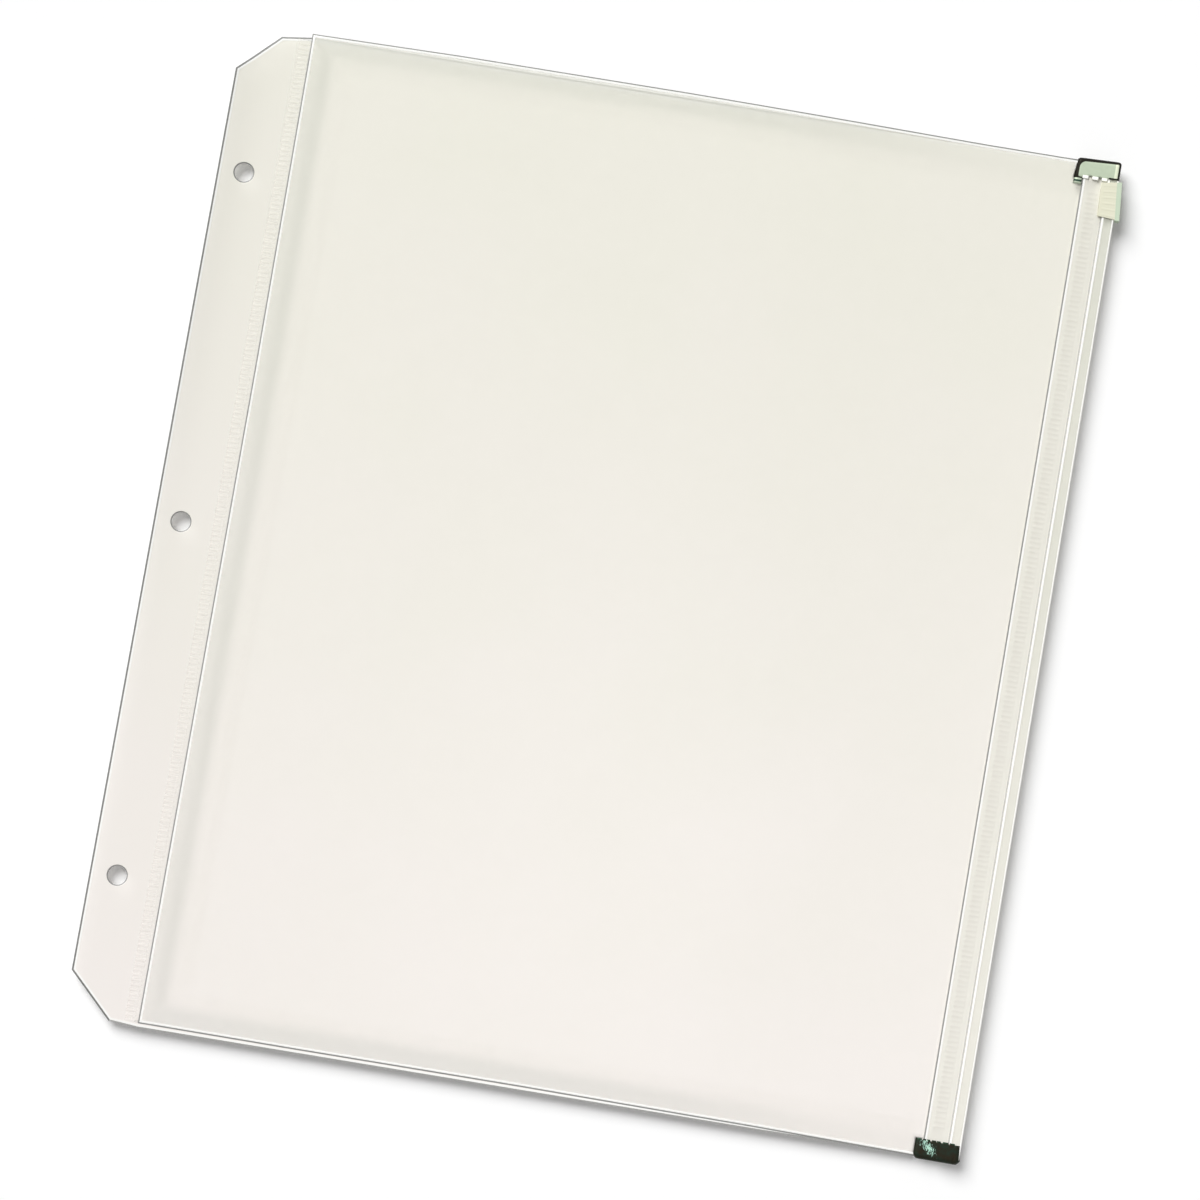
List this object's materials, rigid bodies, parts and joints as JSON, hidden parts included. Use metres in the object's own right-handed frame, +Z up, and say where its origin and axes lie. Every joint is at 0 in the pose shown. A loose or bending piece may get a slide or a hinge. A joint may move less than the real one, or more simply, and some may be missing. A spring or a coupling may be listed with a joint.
{
  "type": "zippered binder pocket",
  "caption": "Clear film pocket with pleated gussets, a punched binding margin with clipped corners, and a slider zipper crimped at both ends by metal clips.",
  "frame": {"origin": "axis of the middle ring hole, on the surface that the pocket lies on", "axes": "+X from the binding edge to the zipper, +Y along the zipper towards the parked slider, +Z up, out of the front film"},
  "size_m": [0.2716, 0.3055, 0.0053],
  "materials": {
    "clear_film": "clear, slightly milky soft vinyl film, glossy",
    "pleat_film": "clear, slightly milky soft vinyl film, creased, with ribbed welds",
    "zip_tape": "extruded translucent plastic, smooth",
    "slider_plastic": "moulded pale green-white plastic, smooth",
    "clip_metal": "bright plated sheet metal, folded and crimped"
  },
  "bodies": {
    "pocket": {"back_sheet": "clear_film", "front_sheet": "clear_film", "left_gusset": "pleat_film", "top_gusset": "pleat_film", "bottom_gusset": "pleat_film", "back_zip_tape": "zip_tape", "front_zip_ends": "zip_tape", "top_end_clip": "clip_metal", "bottom_end_clip": "clip_metal"},
    "margin": {"binding_margin": "clear_film"},
    "lip": {"front_zip_tape": "zip_tape"},
    "slider": {"slider": "slider_plastic"}
  },
  "joints": [
    {"name": "slider_travel", "type": "slide", "parent": "pocket", "child": "slider", "axis": [0, -1, 0], "range_m": [0, 0.28]},
    {"name": "mouth_open", "type": "hinge", "parent": "pocket", "child": "lip", "pos_m": [0.2502, 0, 0.005], "axis": [0, -1, 0], "range_deg": [0, 75], "stiffness_Nm_per_rad": 0.02},
    {"name": "margin_flex", "type": "hinge", "parent": "pocket", "child": "margin", "pos_m": [0.0094, 0, 0.00015], "axis": [0, 1, 0], "range_deg": [0, 90], "stiffness_Nm_per_rad": 0.02}
  ]
}
